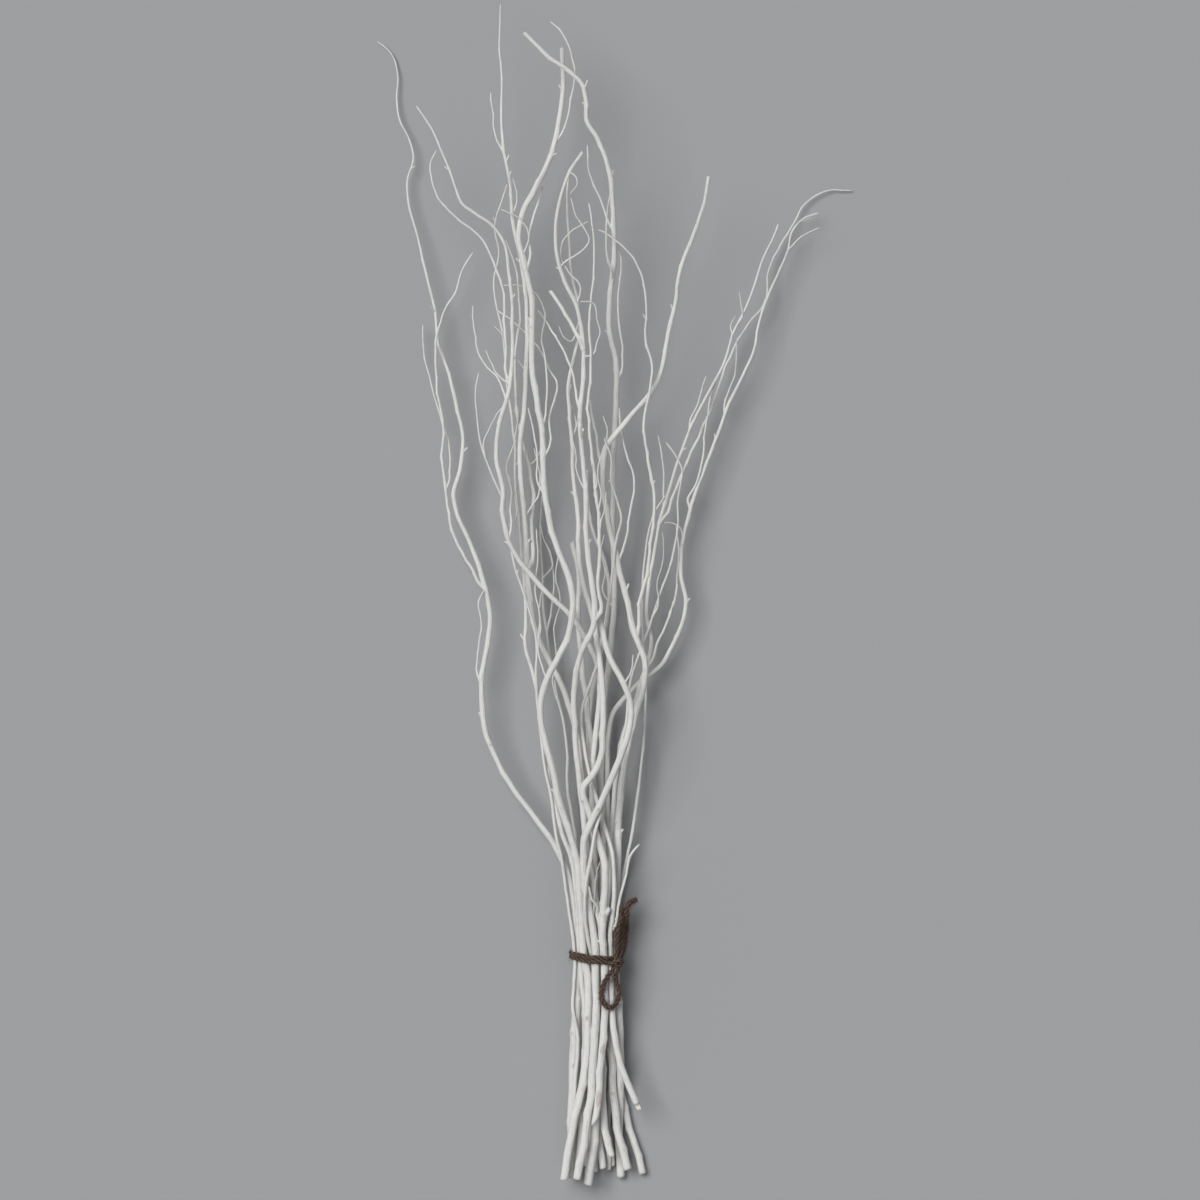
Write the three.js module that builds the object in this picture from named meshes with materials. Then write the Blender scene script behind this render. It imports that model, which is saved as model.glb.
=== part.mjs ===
// A bundle of curly willow branches, painted white and tied with jute twine, lying on the floor.
// Millimetres. X runs across the bundle, Y from the cut ends to the tips, Z up from the floor.
import * as THREE from "three";

// ---- driving dimensions ----
const GAP = 0.4; // clear space kept between any two pieces
const TIE = { x: -3.9, y: 225, z: 25.6, halfWidth: 24.4, halfHeight: 20.4, reach: 21 };
const TWINE = 4.6; // thickness of the jute twine
const THICK_SIDES = 6; // facets round a thick stem
const THIN_SIDES = 5; // facets round a thin stem
const FORK_SIDES = 4; // facets round a side branch
const CORD_SIDES = 8; // facets round a free length of twine
const ROUNDS = 900; // how long the branches settle against each other
const NEAR = 14; // pieces further apart than this never touch
const GIVE = new THREE.Vector3(0.55, 0.4, 1); // how freely branches move aside, along and up
const TURNS = [
  { name: "twine_turn_lower", y: 221, climb: 3.2 },
  { name: "twine_turn_upper", y: 226.1, climb: 3.6 },
];
const KNOT = { across: 17.4, y: 222, halves: [7.4, 6.4, 4.4] };

// ---- stems ----
// thick: diameters spread evenly from the cut end to the tip.
// lift: [y, height above the floor] marks. run: [x, y] marks from the cut end to the tip.
const STEMS = {
  stem_a: {
    thick: [9.4, 8.6, 6.2, 5.4, 4.6, 3.4, 2.2, 1.5],
    lift: [[4, 14], [225, 23], [400, 36], [600, 40], [850, 30], [1145, 3]],
    run: [
      [-27, 4], [-28.5, 60], [-27, 115], [-24.5, 160], [-23, 204], [-21.5, 225], [-24, 246],
      [-28, 285], [-32, 308], [-38, 324], [-48, 343], [-63, 363], [-88, 397], [-103, 424],
      [-114, 450], [-118, 475], [-118, 508], [-114, 535], [-110, 562], [-112, 585], [-119, 610],
      [-131, 643], [-143, 670], [-146, 691], [-140, 716], [-137, 742], [-143, 776], [-153, 815],
      [-162, 842], [-165, 872], [-173, 906], [-182, 945], [-192, 982], [-193, 1006],
      [-187, 1028], [-191, 1045], [-201, 1066], [-204, 1085], [-203, 1112], [-210, 1133],
      [-224, 1145],
    ],
  },
  stem_b: {
    thick: [9, 7.8, 6.5, 5.6, 5, 4.2, 3.2, 2],
    lift: [[-2, 30], [225, 31.8], [480, 48], [567, 62], [690, 86], [945, 100], [1076, 110]],
    run: [
      [-12, -2], [-7, 34], [-3, 80], [-3.5, 120], [-3, 165], [-3.5, 204], [-3.5, 225],
      [-4, 246], [-5, 300], [-7, 350], [-8, 400], [-5, 445], [-1, 480], [0, 505], [-6, 528],
      [-15, 546], [-27, 566], [-48, 586], [-66, 606], [-82, 626], [-92, 645], [-97, 670],
      [-97, 695], [-103, 722], [-103, 744], [-98, 768], [-91, 792], [-88, 818], [-87, 850],
      [-88, 885], [-91, 910], [-96, 940], [-106, 956], [-122, 967], [-137, 978], [-144, 995],
      [-150, 1013], [-158, 1031], [-166, 1050], [-174, 1063], [-183, 1076],
    ],
  },
  stem_c: {
    thick: [6.5, 6, 5, 4.5, 3.5, 2.8, 2.2, 1.6],
    lift: [[6, 24], [225, 31.5], [400, 42], [560, 40], [800, 44], [1000, 70]],
    run: [
      [-23, 6], [-19, 50], [-18, 95], [-15, 140], [-16, 180], [-18.5, 204], [-19.5, 225],
      [-21, 246], [-24, 295], [-30, 330], [-38, 350], [-45, 378], [-52, 408], [-58, 445],
      [-61, 480], [-67, 510], [-75, 540], [-74, 568], [-75, 600], [-79, 640], [-82, 672],
      [-85, 705], [-85, 735], [-88, 765], [-93, 797], [-95, 825], [-98, 855], [-104, 880],
      [-106, 903], [-101, 932], [-105, 958], [-98, 984], [-93, 999],
    ],
  },
  stem_d: {
    thick: [8.2, 8.4, 7.4, 6.8, 6.2, 6, 6, 5.8, 4.4],
    lift: [[3, 38], [225, 37.3], [400, 66], [566, 92], [800, 92], [950, 98], [1134, 84]],
    run: [
      [-36, 3], [-30, 42], [-20, 88], [-14, 125], [-12, 165], [-12.5, 204], [-13, 225],
      [-17, 246], [-20, 295], [-23, 325], [-31, 352], [-40, 380], [-48, 418], [-56, 448],
      [-60, 472], [-55, 500], [-42, 526], [-31, 552], [-27, 574], [-31, 605], [-42, 635],
      [-51, 665], [-56, 700], [-57, 740], [-62, 778], [-67, 808], [-68, 840], [-68, 880],
      [-75, 918], [-81, 945], [-76, 973], [-66, 991], [-55, 1013], [-46, 1038], [-41, 1060],
      [-37, 1095], [-38, 1134],
    ],
  },
  stem_e: {
    thick: [8, 8, 7.6, 7, 6.4, 5.6],
    lift: [[4, 44], [225, 41], [300, 51], [330, 58], [430, 86], [500, 92], [562, 86]],
    run: [
      [-23, 4], [-16, 42], [-10, 80], [-6, 125], [-4, 170], [-4.5, 204], [-4.8, 225],
      [-9, 246], [-12, 272], [-15, 300], [-17, 325], [-15, 347], [-8, 364], [1, 382],
      [12, 408], [24, 438], [30, 462], [30, 482], [22, 504], [11, 524], [4, 545], [0, 563],
    ],
  },
  stem_f: {
    slim: true,
    thick: [4.6, 4.5, 4, 3.4, 2.8, 2.4, 2, 1.6],
    lift: [[18, 12], [225, 30.3], [262, 48], [300, 60], [340, 67], [400, 66], [480, 50], [742, 46]],
    run: [
      [-8, 18], [-10, 60], [-11, 110], [-11, 160], [-10.5, 204], [-10.5, 225], [-13, 246],
      [-14.5, 285], [-12, 312], [-8, 335], [-5, 352], [1, 372], [8, 392], [15, 415], [21, 438],
      [26, 462], [28, 485], [31, 505], [37, 524], [44, 543], [51, 563], [60, 590], [69, 615],
      [75, 640], [78, 662], [78, 685], [81, 704], [82, 714], [76, 728], [66, 742],
    ],
  },
  stem_g: {
    thick: [8, 8.4, 7.6, 7, 6.4, 5.8, 5.2, 4.4, 3.4],
    lift: [[5, 7], [60, 10], [130, 21], [225, 27.5], [400, 40], [510, 62], [640, 72], [740, 80],
      [870, 96], [1005, 104]],
    run: [
      [21, 5], [19, 50], [20, 95], [19.5, 130], [17.5, 170], [15, 204], [14.6, 225], [13.5, 246],
      [15, 280], [17.5, 315], [18, 350], [20, 385], [24, 415], [29, 445], [37, 475], [44, 500],
      [45, 522], [39, 540], [33, 554], [29, 574], [24, 595], [19, 615], [13, 640], [8, 664],
      [4, 690], [3, 715], [5, 735], [16, 750], [31, 768], [46, 785], [57, 802], [64, 825],
      [69, 855], [75, 880], [77, 898], [84, 925], [95, 953], [104, 980], [108, 1005],
    ],
  },
  stem_h: {
    thick: [8.5, 7.8, 6.4, 5.4, 4.6, 4, 3.4, 2.6, 1.8],
    lift: [[13, 19], [60, 22], [130, 21], [225, 19.5], [420, 22], [520, 30], [700, 36], [880, 36],
      [972, 24]],
    run: [
      [28, 13], [19, 46], [14, 85], [12, 120], [11, 165], [11, 204], [11, 225], [10, 246],
      [7, 300], [6, 360], [6, 410], [7, 448], [14, 473], [30, 492], [47, 507], [60, 518],
      [72, 538], [82, 560], [86, 582], [81, 608], [84, 648], [92, 681], [104, 714], [117, 748],
      [129, 780], [142, 807], [155, 838], [158, 855], [166, 884], [178, 910], [188, 934],
      [193, 954], [205, 967], [219, 972],
    ],
  },
  stem_i: {
    thick: [7.4, 6.8, 5.4, 4.6, 3.8, 3.2, 2.6, 1.9],
    lift: [[8, 8], [60, 8], [120, 10], [225, 22.3], [440, 32], [540, 40], [700, 44], [960, 56]],
    run: [
      [43, 8], [36, 33], [28, 60], [21, 90], [17, 120], [12, 165], [5, 204], [3.8, 225],
      [5, 246], [11, 320], [13, 370], [17, 415], [24, 452], [35, 482], [42, 505], [49, 528],
      [51, 545], [47, 568], [48, 595], [53, 625], [60, 662], [70, 697], [81, 732], [95, 766],
      [113, 800], [125, 824], [133, 850], [146, 877], [154, 898], [162, 923], [173, 946],
      [178, 960],
    ],
  },
  stem_j: {
    slim: true,
    thick: [7, 6.2, 4.6, 4, 3.2, 2.8, 2.4, 1.8],
    lift: [[80, 42], [225, 35.2], [300, 50], [400, 50], [480, 56], [746, 84]],
    run: [
      [37, 80], [27, 102], [19, 126], [14, 150], [12, 175], [11, 204], [11, 225], [10, 246],
      [12, 265], [14, 290], [13.5, 315], [10, 340], [3, 362], [-4, 385], [-11, 412],
      [-17, 445], [-19, 470], [-14, 490], [-6, 510], [1, 530], [4, 553], [9, 585], [13, 618],
      [17, 648], [21, 665], [17, 684], [11, 703], [11, 726], [4, 746],
    ],
  },
  stem_k: {
    thick: [6.8, 7.4, 7.9, 7, 6.2, 5.4, 4.6, 3.8, 3, 2.2],
    lift: [[62, 46], [225, 39.3], [300, 54], [395, 68], [500, 74], [590, 66], [700, 54],
      [830, 72], [1008, 120]],
    run: [
      [-5, 62], [-2, 88], [0, 120], [3, 150], [5, 180], [5, 204], [4, 225], [1, 246],
      [3.5, 270], [5, 300], [3, 328], [-5, 352], [-12, 375], [-17, 396], [-8, 409], [1, 428],
      [3, 455], [2, 500], [-2, 538], [-9, 572], [-18, 606], [-22, 640], [-22, 668],
      [-27, 710], [-28, 740], [-30, 768], [-32, 795], [-26, 826], [-21, 850], [-22, 878],
      [-28, 908], [-31, 945], [-33, 976], [-31, 1008],
    ],
  },
  stem_l: {
    thick: [7, 7, 6.4, 6, 5.8, 5.4, 4.8, 4, 3.2],
    lift: [[14, 20], [225, 30.5], [300, 38], [400, 50], [470, 66], [560, 100], [640, 98],
      [850, 110], [1029, 140]],
    run: [
      [3, 14], [-1, 45], [-3, 80], [-2, 125], [2, 165], [5, 204], [5.2, 225], [1, 246],
      [-6, 290], [-12, 330], [-17, 370], [-21, 410], [-25, 450], [-26, 485], [-23, 515],
      [-16, 539], [-7, 557], [-5, 575], [-8, 600], [-13, 635], [-14, 680], [-17, 725],
      [-20, 765], [-17, 800], [-17, 845], [-23, 875], [-33, 897], [-42, 922], [-44, 950],
      [-39, 985], [-30, 1009], [-17, 1029],
    ],
  },
  stem_m: {
    thick: [8, 8, 7, 6.2, 5.6, 5.4, 5, 4.2, 3, 1.6],
    lift: [[16, 13], [225, 23], [400, 26], [560, 34], [700, 62], [900, 84], [1000, 104],
      [1177, 112]],
    run: [
      [-16, 16], [-15, 60], [-14, 110], [-14, 165], [-13, 204], [-12.7, 225], [-13, 246],
      [-13, 310], [-14, 350], [-17, 390], [-20, 425], [-26, 460], [-37, 495], [-50, 521],
      [-62, 547], [-70, 577], [-73, 612], [-75, 660], [-79, 705], [-80, 735], [-76, 772],
      [-74, 810], [-73, 850], [-74, 890], [-80, 928], [-87, 962], [-89, 995], [-96, 1033],
      [-98, 1060], [-98, 1105], [-100, 1138], [-99, 1177],
    ],
  },
  stem_n: {
    thick: [7.3, 7.5, 6.6, 6, 5.8, 5.6, 5.4, 5, 4.4],
    lift: [[27, 32], [225, 23], [400, 20], [545, 22], [780, 54], [860, 80], [1000, 118],
      [1147, 132]],
    run: [
      [11.5, 27], [6, 46], [2, 80], [2, 120], [0, 165], [-3, 204], [-4, 225], [-3, 246],
      [1, 310], [3, 360], [3, 410], [4, 460], [6, 500], [11, 540], [14, 580], [13, 650],
      [14, 735], [16, 785], [16, 822], [9, 855], [10, 885], [14, 925], [13, 970], [8, 1015],
      [-2, 1042], [-13, 1060], [-14, 1080], [-18, 1097], [-32, 1110], [-50, 1123],
      [-75, 1147],
    ],
  },
  stem_o: {
    slim: true,
    thick: [4, 3.8, 3.4, 3, 2.8, 2.4, 2, 1.5],
    lift: [[5, 26], [225, 29], [400, 46], [560, 52], [690, 68], [811, 72]],
    run: [
      [-30, 5], [-28, 45], [-25, 100], [-23, 150], [-27.5, 175], [-27.5, 204], [-25.3, 225],
      [-27.5, 246], [-35, 300], [-39, 326], [-44, 348], [-48, 382], [-55, 415], [-60, 458],
      [-64, 500], [-64, 545], [-73, 581], [-86, 620], [-92, 655], [-98, 685], [-110, 714],
      [-119, 740], [-123, 768], [-124, 796], [-121, 811],
    ],
  },
  stem_p: {
    slim: true,
    thick: [4.6, 4.5, 3.8, 3.2, 3, 2.6, 2.2, 1.7],
    lift: [[12, 8], [225, 20.5], [340, 26], [520, 34], [688, 44]],
    run: [
      [9, 12], [8, 60], [11, 110], [14, 160], [16.5, 204], [16.6, 225], [16.5, 246],
      [17.5, 280], [22, 305], [27, 325], [32, 350], [37, 385], [41, 415], [44, 450],
      [46, 485], [45, 520], [43, 550], [42, 585], [44, 620], [48, 650], [55, 672], [65, 688],
    ],
  },
  stem_q: {
    slim: true,
    thick: [5.6, 5.6, 4.6, 3.6, 3, 2.6, 2.2, 1.6],
    lift: [[12, 4], [225, 13.5], [400, 20], [560, 18], [700, 22]],
    run: [
      [-20, 12], [-18, 60], [-16, 120], [-15, 204], [-14.5, 225], [-15, 246], [-21, 310],
      [-27, 360], [-33, 400], [-33, 430], [-37, 462], [-46, 500], [-52, 540], [-57, 575],
      [-58, 615], [-60, 655], [-58, 690],
    ],
  },
  stem_r: {
    thick: [8, 8, 7, 6, 5, 4, 3],
    lift: [[10, 4], [225, 12], [400, 12], [600, 16], [700, 18]],
    run: [
      [-6, 10], [-6, 60], [-6, 120], [-6, 204], [-6, 225], [-6, 246], [-9, 340], [-12, 395],
      [-12, 440], [-9, 485], [-1, 530], [7, 570], [9, 600], [3, 628], [-6, 650], [-12, 680],
      [-13, 715],
    ],
  },
  stem_s: {
    thick: [7, 7, 6.6, 6.2, 5.8, 5.2],
    lift: [[16, 4], [225, 13], [400, 34], [600, 44], [642, 46]],
    run: [
      [12, 16], [8, 60], [5, 120], [3, 204], [2.5, 225], [2, 246], [-3, 340], [-6, 390],
      [-9, 440], [-14, 485], [-19, 530], [-22, 575], [-21, 610], [-28, 642],
    ],
  },
};

// ---- side branches, split from their stems at the main forks ----
// from: the stem or branch it grows on. tip: height of its tip. run: [x, y] marks from the fork.
const FORKS = {
  fork_a1: {
    from: "stem_a", thick: [3.4, 1.8], tip: 44,
    run: [
      [-118, 602], [-126, 612], [-138, 630], [-149, 658], [-154, 692], [-158, 728],
      [-157, 755], [-164, 805], [-163, 848], [-156, 873], [-144, 893], [-138, 914],
      [-127, 932],
    ],
  },
  fork_a2: {
    from: "fork_a1", thick: [2, 1.4], tip: 14,
    run: [
      [-154, 700], [-150, 718], [-152, 742], [-159, 765], [-168, 795], [-175, 824],
      [-178, 845], [-178, 860],
    ],
  },
  fork_a3: {
    from: "stem_a", thick: [2.1, 1.6], tip: 46,
    run: [[-119, 508], [-122, 535], [-119, 562], [-121, 583], [-116, 594]],
  },
  fork_b1: {
    from: "stem_b", thick: [2.1, 1.4], tip: 66,
    run: [[-93, 790], [-103, 806], [-113, 817], [-121, 830], [-125, 848], [-127, 878]],
  },
  fork_b2: {
    from: "stem_b", thick: [3, 1.6], tip: 84,
    run: [
      [-89, 808], [-94, 832], [-95, 862], [-98, 898], [-106, 920], [-117, 943], [-138, 961],
      [-158, 980], [-168, 1003], [-169, 1020], [-163, 1033],
    ],
  },
  fork_b3: {
    from: "stem_b", thick: [2.4, 1.6], tip: 66,
    run: [[-94, 652], [-89, 675], [-90, 700], [-94, 716], [-90, 730], [-84, 744]],
  },
  fork_d1: {
    from: "stem_d", thick: [2.3, 1.4], tip: 58,
    run: [
      [-57, 732], [-50, 768], [-43, 800], [-49, 812], [-60, 833], [-74, 850], [-90, 865],
      [-104, 874],
    ],
  },
  fork_d2: {
    from: "stem_d", thick: [2.1, 1.4], tip: 66,
    run: [
      [-60, 764], [-53, 787], [-55, 825], [-58, 845], [-55, 868], [-63, 889], [-80, 898],
      [-97, 898],
    ],
  },
  fork_d3: {
    from: "stem_d", thick: [2.4, 1.6], tip: 66,
    run: [
      [-43, 1048], [-33, 1062], [-29, 1082], [-26, 1113], [-31, 1137], [-42, 1155],
      [-50, 1162],
    ],
  },
  fork_d4: {
    from: "stem_d", thick: [3, 2.2], tip: 84,
    run: [[-76, 920], [-70, 950], [-64, 974], [-57, 996]],
  },
  fork_d5: {
    from: "stem_d", thick: [2.1, 1.4], tip: 74,
    run: [[-56, 697], [-63, 732], [-67, 755], [-72, 776]],
  },
  fork_g1: {
    from: "stem_g", thick: [4, 3.4, 2.6, 1.6], tip: 122,
    run: [
      [33, 556], [40, 580], [47, 612], [51, 645], [54, 690], [47, 727], [44, 762], [50, 795],
      [52, 815], [45, 848], [46, 878], [41, 908], [28, 930], [8, 947], [-2, 952],
    ],
  },
  fork_g2: {
    from: "stem_g", thick: [2.6, 1.8], tip: 66,
    run: [[16, 628], [26, 645], [30, 672], [34, 705], [25, 735], [20, 758], [19, 776]],
  },
  fork_g3: {
    from: "stem_g", thick: [3, 2.4], tip: 90,
    run: [[3, 726], [-4, 752], [-9, 772], [-12, 790]],
  },
  fork_h1: {
    from: "stem_h", thick: [2.4, 1.5], tip: 48,
    run: [[92, 681], [97, 702], [103, 728], [105, 752], [110, 785], [118, 810]],
  },
  fork_h2: {
    from: "stem_h", thick: [1.8, 1.3], tip: 30,
    run: [[127, 775], [128, 790], [135, 812], [137, 845]],
  },
  fork_i1: {
    from: "stem_i", thick: [3.2, 2.8, 2.2, 1.4], tip: 4,
    run: [
      [62, 670], [74, 690], [84, 715], [97, 744], [110, 773], [119, 799], [132, 832],
      [150, 862], [166, 884], [168, 910], [180, 938], [194, 961], [207, 983], [230, 995],
      [253, 995],
    ],
  },
  fork_i2: {
    from: "stem_i", thick: [2, 1.4], tip: 38,
    run: [[66, 684], [64, 705], [62, 730], [58, 749]],
  },
  fork_i3: {
    from: "stem_i", thick: [1.8, 1.3], tip: 54,
    run: [[92, 760], [98, 782], [102, 797], [106, 808]],
  },
  fork_i4: {
    from: "stem_i", thick: [2.8, 1.6], tip: 26,
    run: [[48, 524], [57, 541], [67, 562], [75, 585], [77, 608], [79, 632], [76, 660]],
  },
  fork_j1: {
    from: "stem_j", thick: [3, 2.4], tip: 50,
    run: [[12, 260], [18, 278], [22, 293], [26, 308], [28.5, 322], [33, 332], [40, 340]],
  },
  fork_k1: {
    from: "stem_k", thick: [3.6, 2], tip: 64,
    run: [[4, 268], [-3, 277], [-8, 286], [-11, 298]],
  },
  fork_l1: {
    from: "stem_l", thick: [4, 3.2, 2.6, 1.6], tip: 122,
    run: [
      [-6, 574], [-2, 600], [0, 640], [-2, 672], [-5, 700], [-9, 738], [-12, 775],
      [-9, 812], [-9, 832], [-11, 860], [-8, 890], [-6, 925], [-8, 962], [-11, 979],
    ],
  },
  fork_l2: {
    from: "stem_l", thick: [4.2, 3.6], tip: 96,
    run: [[-17, 846], [-29, 860], [-40, 878], [-50, 892]],
  },
  fork_l3: {
    from: "stem_l", thick: [2.6, 1.8], tip: 72,
    run: [[-19, 782], [-27, 808], [-36, 832], [-47, 850], [-56, 866], [-62, 873]],
  },
  fork_m1: {
    from: "stem_m", thick: [4.4, 3.2, 1.6], tip: 40,
    run: [
      [-73, 625], [-69, 655], [-67, 690], [-71, 718], [-79, 748], [-84, 785], [-85, 830],
      [-80, 868], [-81, 888], [-86, 922], [-95, 945],
    ],
  },
  fork_m2: {
    from: "stem_m", thick: [1.9, 1.3], tip: 100,
    run: [[-97, 1036], [-105, 1050], [-107, 1068], [-109, 1090]],
  },
  fork_n1: {
    from: "stem_n", thick: [2.2, 1.4], tip: 90,
    run: [[13, 918], [6, 948], [7, 972], [12, 1000], [13, 1013]],
  },
  fork_n2: {
    from: "stem_n", thick: [2.2, 1.5], tip: 112,
    run: [[12, 958], [3, 976], [-5, 995], [-11, 1010], [-13, 1037]],
  },
  fork_n3: {
    from: "stem_n", thick: [2.5, 1.5], tip: 96,
    run: [[17, 812], [23, 835], [19, 858], [18, 885], [21, 912], [18, 940]],
  },
};

// ---- twine ----
// Marks along the free lengths of the bow, [x, y, height]; they lie on the stems beside the knot.
const BOW = {
  twine_loop_low: [
    [11, 212, 50], [6, 204.5, 49], [2, 195, 48], [1.2, 187, 47.5], [4.2, 179.5, 47],
    [10, 176, 45], [15.8, 180, 42.5], [18.8, 188, 41], [17.6, 198, 42], [15.6, 206, 45],
    [17, 212, 48],
  ],
  twine_loop_high: [
    [16.5, 231.5, 50], [17, 242, 47], [17.6, 255, 47], [19, 265, 46], [21, 272, 42],
    [23.5, 274, 37], [25.6, 269, 32.5], [26.6, 260, 30.5], [26, 249, 31], [24.5, 239, 34],
    [22.5, 231.5, 40],
  ],
  twine_tail: [
    [20.5, 231.5, 45.5], [21.2, 242, 40.5], [21.5, 254, 38.5], [21.5, 266, 39], [24, 277, 45],
    [30, 281.5, 44], [37, 284, 40],
  ],
};

const painted = new THREE.MeshStandardMaterial({ color: 0xe6e3dc, roughness: 0.75 });
painted.name = "painted_bark";
const jute = new THREE.MeshStandardMaterial({ color: 0x4f4036, roughness: 0.95 });
jute.name = "jute_twine";

// ---- laying out ----
// The value at t, 0 to 1, of numbers spread evenly.
function spread(values, t) {
  const at = t * (values.length - 1);
  const i = Math.min(values.length - 2, Math.floor(at));
  return THREE.MathUtils.lerp(values[i], values[i + 1], at - i);
}

// The height at y among [y, height] marks.
function heightAt(marks, y) {
  const i = marks.findIndex((m) => m[0] >= y);
  if (i < 0) return marks[marks.length - 1][1];
  if (i === 0) return marks[0][1];
  const [y0, z0] = marks[i - 1];
  const [y1, z1] = marks[i];
  return THREE.MathUtils.mapLinear(y, y0, y1, z0, z1);
}

// How far along its line each mark lies, from 0 to 1.
function shares(run) {
  const far = [0];
  for (let i = 1; i < run.length; i++) {
    const step = Math.hypot(run[i][0] - run[i - 1][0], run[i][1] - run[i - 1][1]);
    far.push(far[i - 1] + step);
  }
  return far.map((f) => f / far[far.length - 1]);
}

function strandOf(name, run, thick, heights) {
  const share = shares(run);
  return {
    name,
    radii: share.map((t) => spread(thick, t) / 2),
    points: run.map(([x, y], i) => new THREE.Vector3(x, y, heights(y, share[i]))),
    drawn: run.map(([x, y], i) => new THREE.Vector3(x, y, heights(y, share[i]))),
  };
}

function layStem([name, { run, thick, lift }]) {
  return strandOf(name, run, thick, (y) => heightAt(lift, y));
}

// The point of a strand nearest to a place seen from above, with its radius and direction.
function nearestOn(strand, place) {
  let best = { far: Infinity };
  for (let i = 1; i < strand.points.length; i++) {
    const [a, b] = [strand.points[i - 1], strand.points[i]];
    const along = new THREE.Vector2(b.x - a.x, b.y - a.y);
    const from = new THREE.Vector2(place.x - a.x, place.y - a.y);
    const t = THREE.MathUtils.clamp(from.dot(along) / along.lengthSq(), 0, 1);
    const point = a.clone().lerp(b, t);
    const far = Math.hypot(place.x - point.x, place.y - point.y);
    const radius = THREE.MathUtils.lerp(strand.radii[i - 1], strand.radii[i], t);
    if (far < best.far) best = { far, point, radius, along: along.normalize() };
  }
  return best;
}

// A branch starts clear of its stem's side, at the stem's own height.
function layFork([name, { from, run, thick, tip }], strands) {
  const parent = strands.find((s) => s.name === from);
  const root = nearestOn(parent, { x: run[0][0], y: run[0][1] });
  const fork = strandOf(name, run, thick, (y, t) => THREE.MathUtils.lerp(root.point.z, tip, t));
  const away = new THREE.Vector2(-root.along.y, root.along.x);
  const lean = (run[1][0] - root.point.x) * away.x + (run[1][1] - root.point.y) * away.y;
  const clear = Math.sign(lean) * (root.radius + fork.radii[0] + 1.5 * GAP);
  fork.parent = parent;
  for (const list of [fork.points, fork.drawn]) {
    list[0].set(root.point.x + away.x * clear, root.point.y + away.y * clear, root.point.z);
  }
  return fork;
}

// ---- settling ----
// Where two straight pieces come nearest: the shares along each.
function closest(p, q, r, s) {
  const [u, v, w] = [q.clone().sub(p), s.clone().sub(r), p.clone().sub(r)];
  const [a, b, c, d, e] = [u.dot(u), u.dot(v), v.dot(v), u.dot(w), v.dot(w)];
  const within = (t) => Math.min(1, Math.max(0, t));
  const det = a * c - b * b;
  let along = det > 1e-9 ? within((b * e - c * d) / det) : 0.5;
  const other = within((b * along + e) / c);
  along = within((b * other - d) / a);
  return [along, other];
}

// Every pair of straight pieces of different strands that pass near each other.
function nearPairs(movers, others) {
  const pairs = [];
  for (const [n, one] of movers.entries()) {
    for (const two of others === movers ? movers.slice(n + 1) : others) {
      for (let i = 1; i < one.points.length; i++) {
        for (let j = 1; j < two.points.length; j++) {
          const [a, b, c, d] = [one.points[i - 1], one.points[i], two.points[j - 1], two.points[j]];
          if (Math.min(a.y, b.y) > Math.max(c.y, d.y) + NEAR) continue;
          if (Math.min(c.y, d.y) > Math.max(a.y, b.y) + NEAR) continue;
          if (Math.min(a.x, b.x) > Math.max(c.x, d.x) + NEAR) continue;
          if (Math.min(c.x, d.x) > Math.max(a.x, b.x) + NEAR) continue;
          pairs.push([one, i, two, j]);
        }
      }
    }
  }
  return pairs;
}

// Push one pair apart, mostly up and down; returns how much clear space was missing.
function part([one, i, two, j], shareOfOne) {
  const [a, b, c, d] = [one.points[i - 1], one.points[i], two.points[j - 1], two.points[j]];
  const [s, t] = closest(a, b, c, d);
  const gap = a.clone().lerp(b, s).sub(c.clone().lerp(d, t));
  const need =
    THREE.MathUtils.lerp(one.radii[i - 1], one.radii[i], s) +
    THREE.MathUtils.lerp(two.radii[j - 1], two.radii[j], t) + GAP;
  const missing = need - gap.length();
  if (missing <= 0) return 0;
  if (gap.length() < 1e-6) gap.set(0, 0, 1);
  gap.normalize().multiply(GIVE).normalize();
  gap.multiplyScalar(missing * 1.05);
  const shift = (point, weight, share) => point.addScaledVector(gap, weight * share);
  const [w1, w2] = [(1 - s) ** 2 + s ** 2, (1 - t) ** 2 + t ** 2];
  shift(a, (1 - s) / w1, shareOfOne);
  shift(b, s / w1, shareOfOne);
  if (shareOfOne < 1) {
    shift(c, -(1 - t) / w2, 1 - shareOfOne);
    shift(d, -t / w2, 1 - shareOfOne);
  }
  return missing;
}

// Keep a strand above the floor, and inside the twine where it is tied.
function hold(strand) {
  strand.points.forEach((p, i) => {
    const r = strand.radii[i];
    p.z = Math.max(p.z, r);
    if (strand.parent || Math.abs(p.y - TIE.y) > TIE.reach) return;
    const [wide, high] = [TIE.halfWidth - r - GAP, TIE.halfHeight - r - GAP];
    const out = Math.hypot((p.x - TIE.x) / wide, (p.z - TIE.z) / high);
    if (out > 1) {
      p.x = TIE.x + (p.x - TIE.x) / out;
      p.z = TIE.z + (p.z - TIE.z) / out;
    }
  });
}

// Draw strands back to where they were drawn, and even out their rise and fall.
function relax(strand, pull) {
  const { points, drawn } = strand;
  points.forEach((p, i) => {
    p.x += (drawn[i].x - p.x) * pull;
    p.y += (drawn[i].y - p.y) * pull;
    p.z += (drawn[i].z - p.z) * pull * 0.3;
    if (i === 0 || i === points.length - 1) return;
    const bend = (points[i - 1].z + points[i + 1].z) / 2 - p.z;
    const meant = (drawn[i - 1].z + drawn[i + 1].z) / 2 - drawn[i].z;
    p.z += (bend - meant) * pull;
  });
}

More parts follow.
